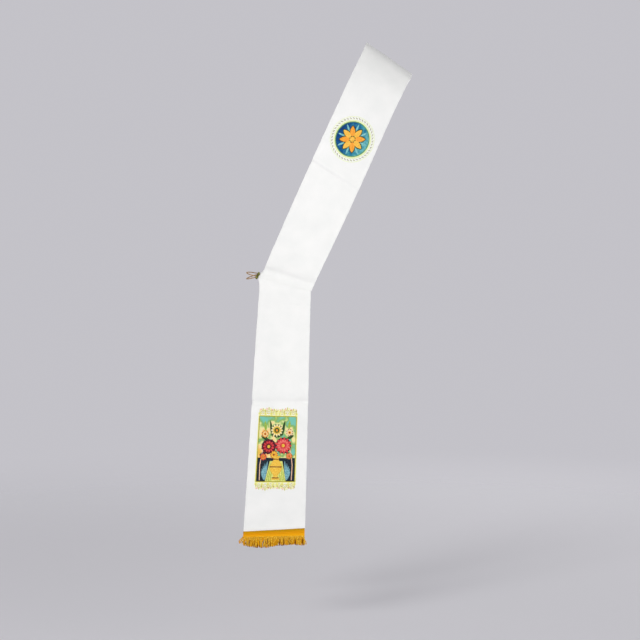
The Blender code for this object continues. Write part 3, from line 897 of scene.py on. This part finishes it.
def round_emblem():
    """A golden rosette on a blue ground, in a pale ring and a wreath of small leaves."""
    ground = shaded_material("blue_ground", BLUES, 8.0, 0.0, 0.9, 110.0)
    threads = thread_set(EMBLEM_THREADS)
    work = Design("emblem", EMBLEM_ARC, EMBLEM_ACROSS, wide=EMBLEM_WIDE)
    middle = (0.0, 0.0)
    work.disc(middle, DISC_RADIUS, FINE_RISE, ground)
    for row in EMBLEM_RINGS:
        work.ring(middle, DISC_RADIUS + row.out, row.half, row.height, threads[row.thread], row.lying)
    for k in range(ROSETTE_PETALS):
        for row in ROSETTE:
            angle = 360 * (k + 0.5) / ROSETTE_PETALS + row.turn
            finish = threads[row.threads[k % len(row.threads)]]
            work.petal(middle, angle, row.inside, row.outside, row.half, row.height, finish, row.lying)
    work.disc(middle, HEART_GROUND, BOLD_RISE, threads["dark"], 0.0006)
    work.disc(middle, HEART, 0.0008, threads["amber"], 0.0008, square=3.0)
    for k in range(WREATH_LEAVES):
        turn = math.tau * k / WREATH_LEAVES
        place = (DISC_RADIUS + WREATH_OUT) * spoke(turn)
        angle = math.degrees(turn) + WREATH_LEAN
        work.petal(place, angle, -WREATH_LEAF, WREATH_LEAF, 0.0012, FINE_RISE, threads["beige"])
    return work.join()


def scroll(middle, start, turns, inside, outside):
    """Points of a scroll from its outer end in to its eye. Angles in turns; turns may be negative."""
    f = np.linspace(0, 1, 40)
    angle = math.tau * (start + turns * f)
    radius = outside + (inside - outside) * f**0.8
    return np.array(middle) + radius[:, None] * spoke(angle)


SCROLLS = ((0.0105, 0.95), (0.0245, 1.15), (0.0400, 1.0))  # place of each eye to the side, and size
SCROLL_RISE, SCROLL_RADIUS, SCROLL_EYE, SCROLL_TURNS = 0.0068, 0.0062, 0.0012, 1.6
SCROLL_LEAF = (0.0060, 0.0112)
SCROLL_LEAVES = ("frame", "glow", "crest", "peach", "glow")  # threads, 30 degrees apart
PALMETTE = ((-50, 0.0125), (0, 0.0165), (50, 0.0125))  # angle and outer end
SPRAYS = (0.0045, 0.0175, 0.0325, 0.0475)  # places to each side
SPRAY = ((-34, 0.0085, "glow"), (2, 0.0120, "crest"), (36, 0.0080, "glow"))  # lean, outer end and thread
CREST_START = 0.0022  # over the middle of the frame's line
BUD_RISE = 0.0142


def crest(work, up, threads):
    """Scrollwork over or under the frame: a palmette between scrolls that wind outwards."""
    base = up * (PANEL_HALF_HEIGHT + CREST_START)
    for angle, long in PALMETTE:
        work.petal((0, base), up * 90 + angle, 0.0030, long, 0.0019, LEAF_RISE, threads["glow"])
    for side in (-1, 1):
        for out, size in SCROLLS:
            eye = (side * out, base + up * SCROLL_RISE * size)
            turns = -side * up * SCROLL_TURNS
            path = scroll(eye, 0.25 + 0.25 * side, turns, SCROLL_EYE, SCROLL_RADIUS * size)
            work.satin(path, np.linspace(0.0011, 0.0007, len(path)), LEAF_RISE, threads["crest"])
            start, end = (size * place for place in SCROLL_LEAF)
            for k, thread in enumerate(SCROLL_LEAVES, 1):
                work.petal(eye, up * 30 * k, start, end, 0.0014, FINE_RISE, threads[thread])
        for out in SPRAYS:
            root = (side * out, base)
            for lean, long, thread in SPRAY:
                work.petal(root, up * (90 - side * lean), 0.0004, long, 0.0015, LEAF_RISE, threads[thread])
            work.disc((side * out, base + up * BUD_RISE), 0.0013, LEAF_RISE, threads["peach"], square=2.0)


Bloom = namedtuple("Bloom", "p q radius petals outer middle inner heart")
BLOOMS = (
    Bloom(0.0170, 0.0090, 0.0215, 13, "crimson", "rose", "crimson", "gold"),
    Bloom(-0.0200, 0.0060, 0.0200, 11, "maroon", "crimson", "maroon", "gold"),
    Bloom(-0.0010, 0.0470, 0.0160, 12, "cream", "gold", "leaf", "orange"),
    Bloom(-0.0310, 0.0370, 0.0095, 8, "orange", "cream", "orange", "maroon"),
    Bloom(0.0320, 0.0420, 0.0090, 8, "peach", "cream", "orange", "maroon"),
    Bloom(-0.0060, -0.0140, 0.0105, 9, "orange", "gold", "orange", "maroon"),
    Bloom(-0.0330, -0.0200, 0.0090, 8, "crimson", "orange", "crimson", "gold"),
    Bloom(0.0330, -0.0170, 0.0085, 8, "orange", "rose", "orange", "maroon"),
)
Leaf = namedtuple("Leaf", "p q angle length half thread")
LEAVES = (
    Leaf(0.000, 0.028, 122, 0.030, 0.0050, "leaf"),
    Leaf(0.002, 0.028, 62, 0.031, 0.0050, "leaf"),
    Leaf(-0.022, 0.022, 152, 0.022, 0.0042, "leaf"),
    Leaf(0.026, 0.026, 28, 0.019, 0.0042, "leaf"),
    Leaf(-0.026, -0.008, 205, 0.019, 0.0042, "navy"),
    Leaf(0.024, -0.008, -28, 0.021, 0.0042, "navy"),
    Leaf(-0.012, 0.030, 100, 0.042, 0.0034, "leaf"),
    Leaf(0.012, 0.032, 80, 0.040, 0.0034, "leaf"),
    Leaf(-0.030, 0.044, 96, 0.026, 0.0032, "moss"),
    Leaf(0.030, 0.050, 86, 0.022, 0.0032, "moss"),
)
VASE = (
    (-0.0765, 0.0105), (-0.0740, 0.0112), (-0.0700, 0.0060), (-0.0660, 0.0048), (-0.0610, 0.0095),
    (-0.0520, 0.0150), (-0.0440, 0.0158), (-0.0340, 0.0115), (-0.0280, 0.0072), (-0.0230, 0.0070),
    (-0.0190, 0.0105), (-0.0170, 0.0112),
)  # q and half width
VASE_BANDS = ((-0.0445, 0.0150), (-0.0250, 0.0068), (-0.0720, 0.0085))  # q and half length
THIN = 0.0011  # half width of lines
TABLE_TOP = -0.022
DRAPE_TOP, DRAPE_HALF_WIDTHS = -0.030, (0.0262, 0.0160)
DRAPE_FOLDS = (-0.0220, -0.0175, -0.0130, 0.0125, 0.0180, 0.0225)  # where each starts, from the middle
DRAPE_FOLD_TOP, DRAPE_FOLD_GATHER = -0.034, 0.62
GRASS_ROOT = (0.0270, -0.0795)
GRASS_LONGEST, GRASS_SHORTER = 0.050, 0.006
STEM = ((0.040, -0.078), (0.041, -0.040), (0.037, -0.012), (0.031, 0.014))
STEM_HALF_WIDTHS = (THIN, THIN, 0.0010, 0.0007)


def flower(work, bloom, threads):
    """Three rings of petals over a dark ground, and a stitched heart."""
    middle = (bloom.p, bloom.q)
    work.disc(middle, bloom.radius * 0.93, FINE_RISE, threads["navy"], 0.0004)
    for ring in range(3):
        out = bloom.radius * (1 - 0.27 * ring)
        half = 0.82 * out * math.sin(math.pi / bloom.petals)
        finish = threads[(bloom.outer, bloom.middle, bloom.inner)[ring]]
        lying = 0.0006 + 0.0002 * ring
        for k in range(bloom.petals):
            angle = 360 * (k + 0.5 * ring) / bloom.petals
            work.petal(middle, angle, out * 0.30, out, half, FINE_RISE, finish, lying)
    work.disc(middle, bloom.radius * 0.20, LEAF_RISE, threads[bloom.heart], 0.0012, square=3.0)


def vase(work, threads):
    places, halves = zip(*VASE)
    q = np.linspace(places[0], places[-1], 60)
    widths = np.interp(q, places, halves)
    work.satin([(0, place) for place in q], widths, 0.0012, threads["vase"], 0.0006, square=3)
    for place, half in VASE_BANDS:
        work.satin(((-half, place), (half, place)), (THIN, THIN), FINE_RISE, threads["maroon"], 0.0018)


def table_cloth(work, threads):
    low = -PANEL_HALF_HEIGHT
    axis = ((0, low + 0.001), (0, DRAPE_TOP))
    work.satin(axis, DRAPE_HALF_WIDTHS, GROUND_RISE, threads["drape"], 0.0003, square=8)
    for place in DRAPE_FOLDS:
        line = ((place, low + 0.002), (place * DRAPE_FOLD_GATHER, DRAPE_FOLD_TOP))
        work.satin(line, (THIN, 0.0004), FINE_RISE, threads["moss"], 0.0005)


def panel_ground(work, threads):
    """Sky over a dark table with a pale cloth on it, and blades of grass at both sides."""
    wide, tall = PANEL_HALF_WIDTH, PANEL_HALF_HEIGHT
    work.satin(((0, TABLE_TOP), (0, tall)), (wide, wide), GROUND_RISE, threads["sky"], square=12)
    work.satin(((0, -tall), (0, TABLE_TOP)), (wide, wide), GROUND_RISE, threads["navy"], square=12)
    table_cloth(work, threads)
    for side in (-1, 1):
        root = (side * GRASS_ROOT[0], GRASS_ROOT[1])
        for k in range(5):
            angle = 90 - side * (7 * k - 6)
            long = GRASS_LONGEST - GRASS_SHORTER * k
            work.petal(root, angle, 0.002, long, 0.0024, FINE_RISE, threads["blue"], 0.0004)
        stem = [(side * p, q) for p, q in STEM]
        work.satin(stem, STEM_HALF_WIDTHS, FINE_RISE, threads["peach"], 0.0005)


Line = namedtuple("Line", "out half height thread")
FRAME_LINES = (Line(0.0, 0.0009, BOLD_RISE, "frame"), Line(0.0019, 0.0010, FINE_RISE, "glow"))


def panel_frame(work, threads):
    corners = [(-1, -1), (1, -1), (1, 1), (-1, 1)]
    for start, end in zip(corners, corners[1:] + corners[:1]):
        for row in FRAME_LINES:
            wide, tall = PANEL_HALF_WIDTH + row.out, PANEL_HALF_HEIGHT + row.out
            line = [(p * wide, q * tall) for p, q in (start, end)]
            work.satin(line, (row.half, row.half), row.height, threads[row.thread], 0.0003)


PANEL_THREADS = {
    "crimson": ((190, 40, 50), (232, 84, 80)),
    "rose": ((216, 84, 84), (246, 138, 126)),
    "maroon": ((62, 18, 36), (128, 40, 48)),
    "cream": ((230, 212, 140), (250, 240, 192)),
    "orange": ((222, 124, 26), (250, 178, 66)),
    "gold": ((212, 164, 30), (244, 210, 88)),
    "vase": ((226, 168, 40), (250, 214, 98)),
    "drape": ((196, 204, 84), (244, 238, 150)),
    "navy": ((14, 26, 38), (46, 58, 68)),
    "leaf": ((22, 54, 34), (66, 98, 46)),
    "moss": ((126, 164, 58), (180, 204, 92)),
    "blue": ((76, 136, 150), (150, 198, 206)),
    "peach": ((232, 178, 146), (250, 212, 180)),
    "frame": ((150, 142, 26), (196, 184, 48)),
    "crest": ((200, 194, 84), (230, 224, 132)),
    "glow": ((236, 234, 130), (248, 246, 180)),
}
SKY_COLOURS = (
    (0.20, (236, 192, 84)),
    (0.36, (250, 200, 128)),
    (0.47, (244, 226, 158)),
    (0.55, (212, 222, 150)),
    (0.64, (134, 178, 92)),
    (0.82, (120, 196, 176)),
)


def upright_panel():
    """A gold vase of flowers, in a thin gold frame with scrollwork over and under it."""
    threads = thread_set(PANEL_THREADS)
    threads["sky"] = shaded_material("sky_thread", SKY_COLOURS, 1.5, 2.6, 1.7, 34.0)
    work = Design("panel", PANEL_ARC, PANEL_ACROSS, skew=PANEL_SKEW)
    panel_ground(work, threads)
    for leaf in LEAVES:
        finish = threads[leaf.thread]
        work.petal((leaf.p, leaf.q), leaf.angle, 0.0, leaf.length, leaf.half, LEAF_RISE, finish, 0.0003)
    vase(work, threads)
    for bloom in BLOOMS:
        flower(work, bloom, threads)
    panel_frame(work, threads)
    crest(work, 1, threads)
    crest(work, -1, threads)
    return work.join()


def floor():
    """A pale disc that fades into the pale surroundings."""
    shape = bmesh.new()
    bmesh.ops.create_circle(shape, cap_ends=True, radius=FLOOR_RADIUS, segments=96)
    mesh = bpy.data.meshes.new("floor")
    shape.to_mesh(mesh)
    shape.free()
    made = put("floor", mesh, (LOOK_AT.x, 0, FLOOR))
    finish, tree, shader = new_material("pale_floor", 0.8)
    shader.inputs["Base Color"].default_value = FLOOR_COLOUR
    where = tree.nodes.new("ShaderNodeTexCoord").outputs["Object"]
    far = node(tree, "ShaderNodeVectorMath", Vector=where)
    far.operation = "LENGTH"
    near, gone = FLOOR_FADE
    fade = node(tree, "ShaderNodeMapRange", Value=far.outputs["Value"], From_Min=near, From_Max=gone)
    fade.interpolation_type = "SMOOTHSTEP"
    clear = tree.nodes.new("ShaderNodeBsdfTransparent")
    mix = node(tree, "ShaderNodeMixShader", Fac=fade.outputs["Result"])
    tree.links.new(shader.outputs["BSDF"], mix.inputs[1])
    tree.links.new(clear.outputs["BSDF"], mix.inputs[2])
    tree.links.new(mix.outputs["Shader"], tree.nodes["Material Output"].inputs["Surface"])
    mesh.materials.append(finish)


Lamp = namedtuple("Lamp", "name x y z size watts")
LAMPS = (
    Lamp("key", -2.9, -3.5, 1.35, 1.6, 77),
    Lamp("fill", 1.2, -4.0, -1.35, 2.4, 66),
    Lamp("right_rim", 3.0, 0.2, -0.6, 1.8, 14),
    Lamp("back", 1.0, 3.8, -0.9, 2.4, 55),
)


def lights():
    middle = Vector((LOOK_AT.x, 0, LOOK_AT.z))
    for row in LAMPS:
        light = bpy.data.lights.new(row.name, "AREA")
        light.size = row.size
        light.energy = row.watts
        lamp = put(row.name, light, (row.x, row.y, row.z))
        lamp.rotation_euler = (middle - lamp.location).to_track_quat("-Z", "Y").to_euler()


SURROUNDINGS = (
    (0.00, (0.16, 0.16, 0.165)),
    (0.36, (0.275, 0.271, 0.290)),
    (0.56, (0.275, 0.271, 0.290)),
    (0.90, (0.215, 0.215, 0.22)),
)
SURROUNDINGS_STRENGTH = 2.0


def surroundings():
    """Pale grey all round, dimmer overhead."""
    world = bpy.data.worlds.new("studio")
    world.use_nodes = True
    tree = world.node_tree
    way = tree.nodes.new("ShaderNodeTexCoord").outputs["Generated"]
    up = node(tree, "ShaderNodeSeparateXYZ", Vector=way).outputs["Z"]
    background = tree.nodes["Background"]
    height = math_node(tree, "MULTIPLY_ADD", up, 0.5, 0.5)
    tree.links.new(ramp(tree, height, SURROUNDINGS), background.inputs["Color"])
    background.inputs["Strength"].default_value = SURROUNDINGS_STRENGTH
    bpy.context.scene.world = world


def camera():
    data = bpy.data.cameras.new("photo_view")
    made = put("photo_view", data, CAMERA_AT)
    made.rotation_euler = (LOOK_AT - CAMERA_AT).to_track_quat("-Z", "Y").to_euler()
    data.sensor_width = SENSOR
    data.lens = SENSOR * (LOOK_AT - CAMERA_AT).length / (PHOTO_PIXELS * METRES_A_PIXEL)
    bpy.context.scene.camera = made


hip, hem = arc_of(SHOULDER_TO_HIP), arc_of(HEM)
seam = SEAM_LINE / 2
shoulder_gap = seam * SHOULDER_DROP / FRONT_UPPER[0].depth
front_upper = panel_shell("front_upper", -hip + seam, SHOULDER_SEAM - shoulder_gap)
back_upper = panel_shell("back_upper", SHOULDER_SEAM + shoulder_gap, hip - seam)
front_lower = panel_shell("front_lower", -hem, -hip - seam)
back_lower = panel_shell("back_lower", hip + seam, hem)
round_emblem()
on_lower = {"front": upright_panel(), "back": []}
for side, facing in (("front", -1), ("back", 1)):
    heading = fringe_heading(side, facing)
    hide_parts(f"{side}_fringe")
    yarns = [fringe_yarns(side, facing, layer) for layer in range(len(LAYERS))]
    on_lower[side] += [heading] + yarns
    link_bead(side, facing)
link_cord("link_strand_top", 1)
link_cord("link_strand_low", -1)

floor()
lights()
surroundings()
camera()
bpy.context.scene.view_settings.view_transform = "Standard"
